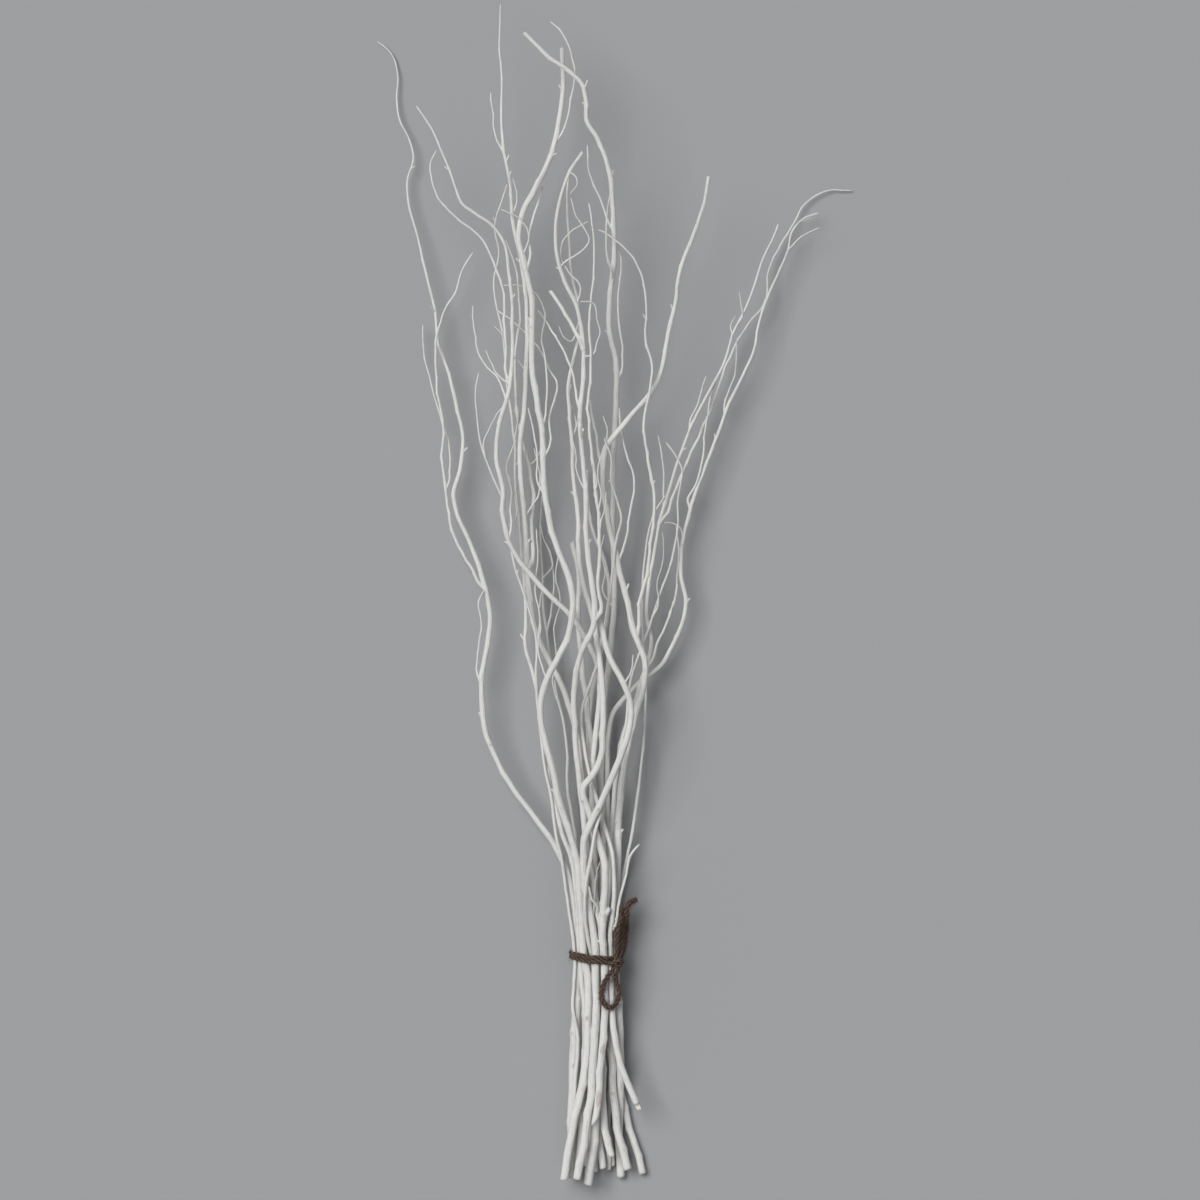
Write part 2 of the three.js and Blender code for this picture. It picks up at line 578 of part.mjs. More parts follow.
function settle(strands) {
  let worst = 0;
  for (let round = 0; round < ROUNDS; round++) {
    const pull = 0.12 * Math.max(0, 1 - round / (0.6 * ROUNDS));
    if (round % 20 === 0) strands.pairs = nearPairs(strands, strands);
    for (const strand of strands) {
      if (pull > 0) relax(strand, pull);
      if (strand.parent && pull > 0) {
        const root = nearestOn(strand.parent, strand.points[0]);
        strand.points[0].z += (root.point.z - strand.points[0].z) * 0.5;
      }
      hold(strand);
    }
    worst = 0;
    for (const pair of strands.pairs) worst = Math.max(worst, part(pair, 0.5));
    strands.forEach(hold);
    if (pull === 0 && worst < 0.05) break;
  }
  return worst;
}

// ---- solids ----
// A closed cylinder bent along a strand, with the strand's radius at each mark.
function bentCylinder({ points, radii }, sides) {
  const last = points.length - 1;
  const shape = new THREE.CylinderGeometry(1, 1, 1, sides, last);
  const at = shape.attributes.position;
  const ahead = points.map((p, i) => {
    const back = points[Math.max(0, i - 1)];
    return points[Math.min(last, i + 1)].clone().sub(back).normalize();
  });
  const side = [new THREE.Vector3(0, 0, 1).cross(ahead[0]).normalize()];
  for (let i = 1; i <= last; i++) {
    const turn = new THREE.Quaternion().setFromUnitVectors(ahead[i - 1], ahead[i]);
    side.push(side[i - 1].clone().applyQuaternion(turn));
  }
  for (let n = 0; n < at.count; n++) {
    const ring = Math.round((at.getY(n) + 0.5) * last);
    const across = side[ring].clone().cross(ahead[ring]);
    const spot = points[ring].clone();
    spot.addScaledVector(side[ring], at.getX(n) * radii[ring]);
    spot.addScaledVector(across, at.getZ(n) * radii[ring]);
    at.setXYZ(n, spot.x, spot.y, spot.z);
  }
  shape.computeVertexNormals();
  return shape;
}

function named(name, shape, material) {
  const mesh = new THREE.Mesh(shape, material);
  mesh.name = name;
  return mesh;
}

// One turn of twine round the bundle, higher up the stems on its left side.
function twineTurn({ y, climb }) {
  const clear = TWINE / 2 + GAP;
  const marks = [];
  for (let n = 0; n < 24; n++) {
    const angle = (n / 24) * 2 * Math.PI;
    const left = Math.max(0, -Math.cos(angle));
    marks.push(new THREE.Vector3(
      TIE.x + (TIE.halfWidth + clear) * Math.cos(angle),
      y + climb * left * left,
      TIE.z + (TIE.halfHeight + clear) * Math.sin(angle),
    ));
  }
  const loop = new THREE.CatmullRomCurve3(marks, true);
  return new THREE.TubeGeometry(loop, 30, TWINE / 2, 6, true);
}

// The knot sits on the outside of the turns, on the right shoulder of the bundle.
function twineKnot() {
  const { across, y, halves } = KNOT;
  const [wide, high] = [TIE.halfWidth + TWINE + GAP, TIE.halfHeight + TWINE + GAP];
  const rise = high * Math.sqrt(1 - (across / wide) ** 2);
  const lean = Math.atan2((high * high * across) / rise, wide * wide);
  const knot = new THREE.SphereGeometry(1, 12, 8).scale(...halves).rotateY(lean);
  const out = halves[2] + 2 * GAP;
  return knot.translate(
    TIE.x + across + Math.sin(lean) * out, y, TIE.z + rise + Math.cos(lean) * out,
  );
}

// The bow's free lengths rest against the stems: only the twine gives way.
function layBow(strands) {
  const bow = Object.entries(BOW).map(([name, marks]) => ({
    name,
    parent: strands[0],
    radii: marks.map(() => TWINE / 2),
    points: marks.map((m) => new THREE.Vector3(...m)),
  }));
  for (let round = 0; round < 200; round++) {
    for (const pair of nearPairs(bow, bow)) part(pair, 0.5);
    for (const pair of nearPairs(bow, strands)) part(pair, 1);
  }
  return bow;
}

const strands = Object.entries(STEMS).map(layStem);
for (const entry of Object.entries(FORKS)) strands.push(layFork(entry, strands));
const missing = settle(strands);
if (missing > 0.3) throw new Error(`branches still press ${missing.toFixed(2)} mm into each other`);

const bundle = new THREE.Group();
bundle.name = "twig_bundle";
for (const strand of strands) {
  const thin = STEMS[strand.name]?.slim ? THIN_SIDES : THICK_SIDES;
  const sides = strand.parent ? FORK_SIDES : thin;
  bundle.add(named(strand.name, bentCylinder(strand, sides), painted));
}
for (const turn of TURNS) bundle.add(named(turn.name, twineTurn(turn), jute));
bundle.add(named("twine_knot", twineKnot(), jute));
for (const length of layBow(strands)) {
  bundle.add(named(length.name, bentCylinder(length, CORD_SIDES), jute));
}

// The frame's origin is under the middle of the bundle, on the floor.
const box = new THREE.Box3().setFromObject(bundle);
bundle.position.set(-(box.min.x + box.max.x) / 2, -(box.min.y + box.max.y) / 2, -box.min.z);

export default bundle;
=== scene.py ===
import math
import random

import bmesh
import bpy
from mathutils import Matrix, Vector, noise
from mathutils.geometry import convex_hull_2d


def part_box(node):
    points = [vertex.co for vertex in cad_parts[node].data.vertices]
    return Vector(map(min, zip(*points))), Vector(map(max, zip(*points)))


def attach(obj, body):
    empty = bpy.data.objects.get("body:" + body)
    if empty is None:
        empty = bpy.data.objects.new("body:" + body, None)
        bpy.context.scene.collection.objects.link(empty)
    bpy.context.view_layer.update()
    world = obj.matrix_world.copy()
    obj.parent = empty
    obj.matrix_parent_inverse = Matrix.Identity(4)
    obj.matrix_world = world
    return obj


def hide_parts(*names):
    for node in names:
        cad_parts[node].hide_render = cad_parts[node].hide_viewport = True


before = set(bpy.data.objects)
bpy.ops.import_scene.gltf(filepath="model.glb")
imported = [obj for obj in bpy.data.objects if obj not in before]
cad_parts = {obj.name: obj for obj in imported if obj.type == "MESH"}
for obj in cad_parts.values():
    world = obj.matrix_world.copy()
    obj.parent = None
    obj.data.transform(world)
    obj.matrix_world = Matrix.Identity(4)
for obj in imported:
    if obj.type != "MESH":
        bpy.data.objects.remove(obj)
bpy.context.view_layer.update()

noise.seed_set(7)  # without it the curl of the branches changes from run to run

# A bundle of curly willow branches, painted white and tied low down with jute twine.
# The spine of every stem and branch is read from its CAD solid, then given bark, buds,
# trimmed stubs and cut ends; twigs too fine for CAD are grown on the stems here.

MM = 0.001
UP = Vector((0, 0, 1))

STEM_STEP = 2.4 * MM  # length between rings of bark
TWIG_STEP = 2.0 * MM
FINE_STEP = 1.6 * MM
STEM_SIDES = 14
TWIG_SIDES = 10
FINE_SIDES = 8

SLIM_TIP = 2.2 * MM  # a side branch whose tip has a smaller radius kinks more
SLIM_CURL = 0.5 * MM  # how far a branch wanders off its marks
STEM_CURL = 0.3 * MM
STEM_BUDS = (30 * MM, 0.13, 0.5)  # the gap between buds, their rise, and the kink at each
SLIM_BUDS = (21 * MM, 0.26, 1.0)
FINE_BUDS = (17 * MM, 0.3, 0.9)
STEM_SEED = 3
FINE_SEED = 90
LOWEST_TWIG = 1.2 * MM  # height of a fine twig's middle where it would meet the floor
SPLINTERS = 11

TWINE = 4.6 * MM  # thickness of the laid twine
PLIES = 3
PLY_OUT = 0.285  # from the twine's middle to a ply's, as a share of the twine's thickness
PLY_RADIUS = 0.25  # a ply's own radius, as a share of the same
TWINE_LAY = 18 * MM  # length of one full twist
TWINE_STEP = 0.9 * MM
TIE_MARKS = 40  # marks round the stems where they are tied

# ---- the layout's own marks: millimetres across from the tie, and along from the cut ends ----
TIE_ACROSS = -3.9
KNOT_ALONG = 222.0


def middle(node):
    low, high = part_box(node)
    return (low + high) / 2


LAYOUT_X = middle("twine_turn_lower").x - TIE_ACROSS * MM
LAYOUT_Y = middle("twine_knot").y - KNOT_ALONG * MM


def placed(across, along, height=0.0):
    return Vector((LAYOUT_X + across * MM, LAYOUT_Y + along * MM, height * MM))


# Which stem or branch each side branch grows on.
GROWS_ON = {
    "fork_a1": "stem_a", "fork_a2": "fork_a1", "fork_a3": "stem_a",
    "fork_b1": "stem_b", "fork_b2": "stem_b", "fork_b3": "stem_b",
    "fork_d1": "stem_d", "fork_d2": "stem_d", "fork_d3": "stem_d", "fork_d4": "stem_d",
    "fork_d5": "stem_d", "fork_g1": "stem_g", "fork_g2": "stem_g", "fork_g3": "stem_g",
    "fork_h1": "stem_h", "fork_h2": "stem_h", "fork_i1": "stem_i", "fork_i2": "stem_i",
    "fork_i3": "stem_i", "fork_i4": "stem_i", "fork_j1": "stem_j", "fork_k1": "stem_k",
    "fork_l1": "stem_l", "fork_l2": "stem_l", "fork_l3": "stem_l", "fork_m1": "stem_m",
    "fork_m2": "stem_m", "fork_n1": "stem_n", "fork_n2": "stem_n", "fork_n3": "stem_n",
}

# Fine twigs: the stem they grow on, thickness at root and tip, rise of the tip above the
# stem, and [across, along] marks.
FINE_TWIGS = {
    "twig_b4": ("stem_b", 1.8, 1.1, -8, [(-97, 800), (-104, 811), (-109, 821), (-114, 834)]),
    "twig_c1": ("stem_c", 1.7, 1.1, 10, [(-85, 742), (-83, 760), (-82, 775), (-86, 790)]),
    "twig_k2": ("stem_k", 2.0, 1.1, 8, [
        (1, 238), (-4.5, 245), (-6, 262), (-6, 283), (-4.5, 300), (-2.5, 314), (0, 323)]),
    "twig_k3": ("stem_k", 2.2, 1.3, -12, [
        (-28, 745), (-24, 757), (-26, 771), (-31, 784), (-29, 800)]),
    "twig_k4": ("stem_k", 1.9, 1.1, 12, [(-21, 862), (-30, 842), (-36, 846), (-41, 857)]),
    "twig_l4": ("stem_l", 1.9, 1.1, 14, [
        (-17, 826), (-8, 828), (-3, 840), (0, 850), (-3, 862), (-6, 878), (-20, 881)]),
    "twig_l5": ("stem_l", 1.9, 1.1, 10, [
        (-6, 925), (-11, 944), (-18, 957), (-25, 970), (-29, 984)]),
    "twig_l6": ("fork_l1", 1.7, 1.1, 6, [(-3, 672), (1, 690), (-2, 706), (-1, 722), (4, 733)]),
    "twig_m3": ("stem_m", 1.8, 1.1, 8, [(-88, 966), (-83, 980), (-84, 994), (-87, 1004)]),
    "twig_m5": ("stem_m", 1.8, 1.1, -6, [
        (-73, 668), (-68, 678), (-61, 692), (-60, 705), (-62, 719), (-66, 736)]),
    "twig_m4": ("fork_m1", 1.9, 1.1, -8, [(-71, 718), (-64, 725), (-58, 739)]),
    "twig_o1": ("stem_o", 1.8, 1.1, 10, [
        (-115, 726), (-116, 742), (-110, 757), (-103, 769), (-97, 777)]),
    "twig_o2": ("stem_o", 1.5, 1.0, -16, [(-64, 540), (-59, 556), (-61, 575), (-58, 596)]),
    "twig_q1": ("stem_q", 2.0, 1.1, -4, [
        (-54, 552), (-49, 575), (-46, 600), (-49, 625), (-56, 645)]),
    "twig_q2": ("stem_q", 1.7, 1.1, 12, [
        (-40, 472), (-47, 500), (-44, 528), (-46, 556), (-40, 584), (-44, 610), (-41, 634)]),
    "twig_d6": ("stem_d", 1.9, 1.2, -34, [
        (-52, 505), (-62, 535), (-60, 565), (-65, 596), (-62, 625), (-64, 655)]),
    "twig_n4": ("stem_n", 2.0, 1.3, 16, [(16, 900), (12, 910), (7, 922)]),
    "twig_n5": ("stem_n", 1.7, 1.1, 6, [(12, 575), (3, 592), (5, 612), (1, 632), (4, 650)]),
    "twig_h3": ("stem_h", 1.6, 1.0, 6, [(83, 645), (80, 657), (72, 661), (58, 661)]),
    "twig_h4": ("stem_h", 1.6, 1.0, 8, [(188, 935), (196, 943), (207, 951), (220, 957)]),
    "twig_h5": ("stem_h", 1.6, 1.0, -6, [(193, 952), (199, 962), (206, 965), (214, 968)]),
    "twig_i5": ("fork_i4", 1.6, 1.0, 6, [(67, 562), (71, 571), (73, 583)]),
    "twig_i6": ("stem_i", 1.6, 1.0, 6, [(137, 858), (142, 868), (141, 879), (139, 892)]),
    "twig_i7": ("stem_i", 1.6, 1.0, -8, [(133, 849), (131, 858), (136, 869)]),
    "twig_f1": ("stem_f", 1.7, 1.1, 8, [(51, 563), (58, 578), (57, 600), (63, 624), (62, 652)]),
    "twig_e1": ("stem_e", 2.0, 1.4, 10, [(26, 500), (31, 512), (33, 530)]),
    "twig_a4": ("stem_a", 1.5, 1.0, 8, [(-165, 872), (-171, 879)]),
    "twig_d7": ("stem_d", 1.7, 1.0, 8, [(-69, 927), (-71, 947), (-80, 964), (-99, 973)]),
    "twig_l7": ("stem_l", 1.6, 1.0, 4, [(-30, 1010), (-24, 1004), (-23, 997), (-30, 987)]),
    "twig_l8": ("stem_l", 1.8, 1.1, 8, [
        (-17, 881), (-19, 895), (-31, 910), (-39, 927), (-37, 941), (-29, 950), (-11, 961)]),
    "twig_g4": ("stem_g", 2.0, 1.3, 8, [(5, 735), (7, 752), (3, 768)]),
    "twig_c2": ("stem_c", 1.7, 1.1, 8, [(-95, 826), (-96, 838), (-98, 850), (-106, 858)]),
    "twig_m6": ("stem_m", 1.7, 1.1, 6, [(-74, 812), (-80, 820), (-87, 829), (-86, 836)]),
    "twig_o3": ("stem_o", 1.8, 1.1, 8, [
        (-91, 656), (-84, 668), (-84, 682), (-88, 696), (-92, 710)]),
    "twig_q3": ("stem_q", 1.6, 1.0, 8, [
        (-55, 606), (-48, 618), (-50, 632), (-57, 647), (-60, 662)]),
    "twig_l9": ("stem_l", 1.9, 1.1, 8, [
        (-15, 692), (-20, 703), (-24, 715), (-24, 730), (-28, 748)]),
    "twig_l10": ("fork_l1", 1.6, 1.0, 6, [(-3, 682), (-6, 690), (-3, 700), (-4, 709), (-9, 720)]),
    "twig_l11": ("fork_l1", 1.6, 1.0, 4, [(-1, 648), (1, 660), (5, 676), (6, 692)]),
}

# Trimmed snags: the stem, how far along in layout marks, length, thickness, and the side.
SNAGS = [
    ("stem_a", 732, 4, 1.8, 1), ("stem_a", 1018, 3, 1.2, 1), ("stem_a", 468, 2.5, 2.4, -1),
    ("stem_b", 1012, 3.5, 1.4, -1), ("stem_b", 885, 3, 1.6, 1), ("stem_b", 640, 3, 2, -1),
    ("stem_c", 545, 4.5, 2.2, -1), ("stem_c", 720, 3, 1.5, 1), ("stem_c", 962, 3, 1.2, -1),
    ("stem_d", 392, 3, 2.8, -1), ("stem_d", 862, 4, 1.8, -1), ("stem_d", 1026, 3.5, 1.6, 1),
    ("stem_d", 1093, 4, 1.6, -1), ("stem_g", 592, 5, 2.2, 1), ("stem_g", 873, 4, 1.6, -1),
    ("stem_g", 350, 3, 2.6, 1), ("fork_g1", 864, 4, 1.5, -1), ("fork_g1", 700, 2.5, 1.4, 1),
    ("stem_h", 582, 3, 1.8, 1), ("stem_h", 745, 3, 1.4, -1), ("stem_i", 735, 3, 1.3, 1),
    ("stem_k", 270, 4.5, 5.2, 1), ("stem_k", 690, 3, 1.8, -1), ("stem_l", 640, 3, 2, 1),
    ("stem_l", 752, 2.2, 3.2, 1), ("stem_l", 912, 3, 1.4, -1), ("stem_m", 920, 4, 1.8, -1),
    ("stem_m", 1020, 4.5, 1.6, 1), ("stem_m", 1006, 3, 1.2, 1), ("stem_m", 640, 3, 2.2, 1),
    ("stem_n", 1092, 6, 1.9, 1), ("stem_n", 1076, 3, 1.5, -1), ("stem_n", 700, 3.5, 2, -1),
    ("stem_n", 851, 3, 1.6, -1), ("stem_s", 560, 3.5, 2.2, -1), ("stem_o", 611, 2.5, 1.2, 1),
]

# Old scars: the stem, how far along in layout marks, the side, width and rise.
SCARS = [
    ("stem_k", 266, 0.9, 5, 1.1), ("stem_k", 134, 0.3, 5, 0.5), ("stem_k", 86, 0.2, 7, 0.5),
    ("stem_l", 752, 0.4, 7, 0.8), ("stem_a", 118, 0.6, 4, 0.9), ("stem_c", 160, 0.3, 5, 0.4),
]
SCAR_WEAR = 2.0  # how bare an old scar is, where 1 is a well worn bud


# ---- spines ----
def marks_of(node):
    """The ring centres and radii of a bent rod, from its thick end to its thin end."""
    bm = bmesh.new()
    bm.from_mesh(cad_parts[node].data)
    bmesh.ops.remove_doubles(bm, verts=bm.verts, dist=2e-6)
    ends = []
    for vert in bm.verts:
        flat = vert.link_faces[0].normal
        if all(face.normal.dot(flat) > 0.9999 for face in vert.link_faces):
            reach = sum(edge.calc_length() for edge in vert.link_edges) / len(vert.link_edges)
            ends.append((reach, vert))
    base = max(ends, key=lambda end: end[0])[1]
    seen, ring, marks = {base}, [base], []
    while True:
        ring = [v for v in dict.fromkeys(
            e.other_vert(u) for u in ring for e in u.link_edges) if v not in seen]
        if len(ring) < 3:
            break
        seen.update(ring)
        centre = sum((v.co for v in ring), Vector()) / len(ring)
        marks.append((centre, sum((v.co - centre).length for v in ring) / len(ring)))
    bm.free()
    return marks


class Spine:
    """A smooth line through marks, with a radius, a direction and a side at every step."""

    def __init__(self, marks, step, curl=0.0):
        self.points, self.radii = [], []
        spots = [m[0] for m in marks]
        gaps = [max((b - a).length, 1e-6) for a, b in zip(spots, spots[1:])]
        slopes = [(b - a) / g for a, b, g in zip(spots, spots[1:], gaps)]
        lean = [slopes[0]]
        for i in range(1, len(slopes)):
            before, after = gaps[i - 1], gaps[i]
            lean.append((slopes[i - 1] * after + slopes[i] * before) / (before + after))
        lean.append(slopes[-1])
        for i, gap in enumerate(gaps):
            parts = max(1, round(gap / step))
            for n in range(parts + (i == len(gaps) - 1)):
                t = n / parts
                self.points.append(
                    spots[i] * (2 * t**3 - 3 * t**2 + 1) + lean[i] * gap * (t**3 - 2 * t**2 + t)
                    + spots[i + 1] * (3 * t**2 - 2 * t**3) + lean[i + 1] * gap * (t**3 - t**2))
                self.radii.append(marks[i][1] * (1 - t) + marks[i + 1][1] * t)
        if curl:
            self.points = [p + noise.noise_vector(p * 38) * curl for p in self.points]
        self.far = [0.0]
        for a, b in zip(self.points, self.points[1:]):
            self.far.append(self.far[-1] + (b - a).length)
        self.set_frames()

    def set_frames(self):
        pts = self.points
        self.ahead = [(pts[min(i + 1, len(pts) - 1)] - pts[max(i - 1, 0)]).normalized()
                      for i in range(len(pts))]
        side = UP.cross(self.ahead[0]).normalized()
        self.side = [side]
        for before, after in zip(self.ahead, self.ahead[1:]):
            side = before.rotation_difference(after) @ side
            side = (side - after * side.dot(after)).normalized()
            self.side.append(side)
        self.over = [a.cross(s) for a, s in zip(self.ahead, self.side)]

    def nearest(self, spot):
        return min(range(len(self.points)), key=lambda i: (self.points[i] - spot).length_squared)

    def at_along(self, along):
        y = LAYOUT_Y + along * MM
        return min(range(len(self.points)), key=lambda i: abs(self.points[i].y - y))

    def turn_toward(self, step, way):
        """The angle round the line that faces a way."""
        return math.atan2(way.dot(self.over[step]), way.dot(self.side[step]))


# ---- bark ----
def rod(bm, spine, sides, radius_at, note):
    """A capped rod bent along a spine. radius_at(step, angle) gives its surface."""
    steps = len(spine.points) - 1
    before = len(bm.verts)
    bmesh.ops.create_cone(bm, cap_ends=True, segments=sides, radius1=1, radius2=1, depth=steps)
    bm.verts.ensure_lookup_table()
    long_edges = dict.fromkeys(edge for vert in bm.verts[before:] for edge in vert.link_edges
                               if abs(edge.verts[0].co.z - edge.verts[1].co.z) > 0.5)
    if steps > 1:
        bmesh.ops.subdivide_edges(bm, edges=list(long_edges), cuts=steps - 1)
        bm.verts.ensure_lookup_table()
    verts = bm.verts[before:]
    for vert in verts:
        step = round(vert.co.z + steps / 2)
        angle = math.atan2(vert.co.y, vert.co.x)
        across = spine.side[step] * math.cos(angle) + spine.over[step] * math.sin(angle)
        note(vert, step, angle)
        vert.co = spine.points[step] + across * radius_at(step, angle)
    return verts


class Bark:
    """How a branch kinks, swells, wrinkles and wears along its spine."""

    def __init__(self, spine, seed, bud_gap, bud_rise, kink):
        self.spine, self.rng = spine, random.Random(seed)
        self.seed = seed * 0.37
        self.knots = []
        far = self.rng.uniform(0.3, 1.0) * bud_gap
        turn = self.rng.uniform(0, math.tau)
        while far < spine.far[-1] - 5 * MM:
            radius = spine.radii[self.step_at(far)]
            worn = self.rng.choice((0, 0.2, 0.5, 1.0))
            self.knot(far, turn, bud_rise * radius + 0.2 * MM, 0.6 * radius + 0.7 * MM, worn)
            self.bend(far, turn, kink * (0.22 * radius + 0.4 * MM), 0.42 * bud_gap)
            far += bud_gap * self.rng.uniform(0.55, 1.5)
            turn += math.radians(137) + self.rng.uniform(-0.6, 0.6)
        spine.set_frames()

    def step_at(self, far):
        return min(range(len(self.spine.far)), key=lambda i: abs(self.spine.far[i] - far))

    def bend(self, far, turn, reach, stretch):
        """Pushes the spine out at a bud, so that the stem turns there."""
        spine = self.spine
        step = self.step_at(far)
        push = (spine.side[step] * math.cos(turn) + spine.over[step] * math.sin(turn)) * reach
        push.z *= 0.35
        for i, spot in enumerate(spine.far):
            near = 1 - abs(spot - far) / stretch
            if near > 0:
                spine.points[i] = spine.points[i] + push * near

    def knot(self, far, turn, rise, width, worn):
        self.knots.append((far, turn, rise, width, worn))

    def near(self, step):
        far = self.spine.far[step]
        return [(math.exp(-(((far - k[0]) / k[3]) ** 2)), k)
                for k in self.knots if abs(far - k[0]) < 3 * k[3]]

    def radius(self, step, angle):
        spine = self.spine
        base = spine.radii[step]
        turn = Vector((math.cos(angle), math.sin(angle), 0))
        lobes = noise.noise(turn * 0.8 + Vector((0, self.seed, spine.far[step] * 30)))
        ridges = noise.noise(turn * 2.6 + Vector((self.seed, 0, spine.far[step] * 70)))
        swell = sum(near * rise * (0.12 + 0.88 * max(0.0, math.cos(angle - at)) ** 2)
                    for near, (_, at, rise, _, _) in self.near(step))
        return base * (1 + 0.11 * lobes + 0.08 * ridges) + swell

    def wear_and_painted_shade(self, step, angle):
        return min(SCAR_WEAR, sum(near * worn * max(0.0, math.cos(angle - at)) ** 3
                                  for near, (_, at, _, _, worn) in self.near(step)))


def new_bark_mesh():
    bm = bmesh.new()
    bm.verts.layers.float_vector.new("grain")
    # On the bark this layer holds real wear at buds and scars; on the twine it holds how far each
    # ply faces out, for the painted shade in the grooves between plies.
    bm.verts.layers.float.new("wear_and_painted_shade")
    return bm


def note_for(bm, spine, wear_at):
    grain, worn = bm.verts.layers.float_vector["grain"], bm.verts.layers.float["wear_and_painted_shade"]

    def note(vert, step, angle):
        radius = spine.radii[step]
        vert[grain] = Vector((math.cos(angle) * radius, math.sin(angle) * radius,
                              spine.far[step] * 0.13))
        vert[worn] = wear_at(step, angle)

    return note


def ended(bark, base, tip):
    """The bark's surface with its two ends finished: cut, rounded or running into a stem."""
    spine = bark.spine
    last, total = len(spine.points) - 1, spine.far[-1]

    def radius_at(step, angle):
        radius = bark.radius(step, angle)
        if base == "cut" and step == 0:
            radius *= 0.93
        if base == "root":
            radius *= 1 + 0.42 * math.exp(-spine.far[step] / (1.6 * spine.radii[0]))
        left = total - spine.far[step]
        if tip == "cut" and step == last:
            radius *= 0.9
        if tip == "fine" and left < 3 * MM:
            radius *= 0.35 + 0.65 * math.sqrt(left / (3 * MM))
        return radius

    return radius_at


def cut_slantwise(verts, spine, step, slope, turn):
    """Tilts the end ring, and the rings just behind it less, as pruning shears leave it."""
    centre, ahead = spine.points[step], spine.ahead[step]
    lean = spine.side[step] * math.cos(turn) + spine.over[step] * math.sin(turn)
    reach = 2.2 * spine.radii[step]
    for vert in verts:
        away = vert.co - centre
        depth = abs(away.dot(ahead))
        if away.length < reach + spine.radii[step] and depth < reach:
            vert.co += ahead * away.dot(lean) * slope * (1 - depth / reach)


def end_faces(bm, spine, step):
    outward = spine.ahead[step] * (1 if step else -1)
    return [f for f in bm.faces if len(f.verts) > 4
            and (f.calc_center_median() - spine.points[step]).length < spine.radii[step]
            and f.normal.dot(outward) > 0.2]


def dish_cut(bm, spine, step):
    """A cut end: a narrow rim of bark round a face that is sunk a little at the pith."""
    bm.normal_update()
    for face in end_faces(bm, spine, step):
        inward = spine.ahead[step] * (-1 if step else 1)
        radius = spine.radii[step]
        for width, sink in ((0.16, 0.02), (0.5, 0.05)):
            bmesh.ops.inset_region(bm, faces=[face], thickness=radius * width, use_even_offset=True)
            bmesh.ops.translate(bm, verts=face.verts, vec=inward * radius * sink)


def add_snag(bm, bark, step, length, thick, turn):
    """The stub of a trimmed twig, leaning along its stem, with its root inside the bark."""
    spine = bark.spine
    across = spine.side[step] * math.cos(turn) + spine.over[step] * math.sin(turn)
    ahead = spine.ahead[step]
    start = spine.points[step] + across * spine.radii[step] * 0.4
    out = (across * 0.8 + ahead * 0.75).normalized()
    reach = spine.radii[step] * 0.6 + length
    marks = [(start + out * reach * t + ahead * 0.25 * reach * t * t, thick / 2 * w)
             for t, w in ((0, 1.5), (0.35, 1.15), (0.7, 0.95), (1, 0.85))]
    stub = Spine(marks, 0.9 * MM)
    last = len(stub.points) - 1

    def radius_at(n, angle):
        rough = noise.noise(Vector((math.cos(angle) * 2, math.sin(angle) * 2, step + n * 0.4)))
        return stub.radii[n] * (1 + 0.12 * rough) * (0.8 if n == last else 1)

    verts = rod(bm, stub, 8, radius_at, note_for(bm, stub, lambda n, a: 0.15))
    cut_slantwise(verts, stub, last, 0.5, step)
    bark.knot(spine.far[step], turn, 0.16 * spine.radii[step], thick * 0.9, 0.45)


def add_splinters(spine, node):
    """Raw white splinters at the end of a snapped stem."""
    rng, bm = random.Random(5), new_bark_mesh()
    back = -spine.ahead[0]
    for n in range(SPLINTERS):
        turn = n * 2.4
        across = spine.side[0] * math.cos(turn) + spine.over[0] * math.sin(turn)
        start = spine.points[0] + across * spine.radii[0] * rng.uniform(0.0, 0.75)
        reach, thick = rng.uniform(2.5, 7.0) * MM, rng.uniform(0.7, 1.3) * MM
        run = [(start - back * 2 * MM, thick), (start + back * reach * 0.5, thick * 0.8),
               (start + back * reach + across * rng.uniform(-0.4, 0.3) * MM, thick * 0.25)]
        shard = Spine(run, 1.5 * MM)
        rod(bm, shard, 5, lambda n, a, shard=shard: shard.radii[n],
            note_for(bm, shard, lambda n, a: 0.0))
    add_piece(bm, "splinters_" + node, RAW_WOOD)


def shade_smooth(bm):
    for face in bm.faces:
        face.smooth = len(face.verts) <= 4
    for edge in bm.edges:
        if len(edge.link_faces) == 2:
            edge.smooth = all(face.smooth for face in edge.link_faces)


def add_piece(bm, name, material, nodes=()):
    shade_smooth(bm)
    mesh = bpy.data.meshes.new(name)
    bm.to_mesh(mesh)
    bm.free()
    mesh.materials.append(material)
    piece = bpy.data.objects.new(name, mesh)
    bpy.context.scene.collection.objects.link(piece)
    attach(piece, "root")
    if nodes:
        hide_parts(*nodes)
    return piece


# ---- shading ----
class Signal:
    """A node's output that can be used in sums."""

    def __init__(self, graph, socket):
        self.graph, self.socket = graph, socket

    def sum(self, kind, one, two):
        return self.graph.node("ShaderNodeMath", {"operation": kind}, one, two)

    def __add__(self, other):
        return self.sum("ADD", self, other)

    __radd__ = __add__

    def __sub__(self, other):
        return self.sum("SUBTRACT", self, other)

    def __rsub__(self, other):
        return self.sum("SUBTRACT", other, self)

    def __mul__(self, other):
        return self.sum("MULTIPLY", self, other)

    __rmul__ = __mul__

    def above(self, low, high):
        """0 under low, 1 over high, and a smooth rise between."""
        return self.graph.node(
            "ShaderNodeMapRange", {"interpolation_type": "SMOOTHSTEP"}, self, low, high, 0.0, 1.0)


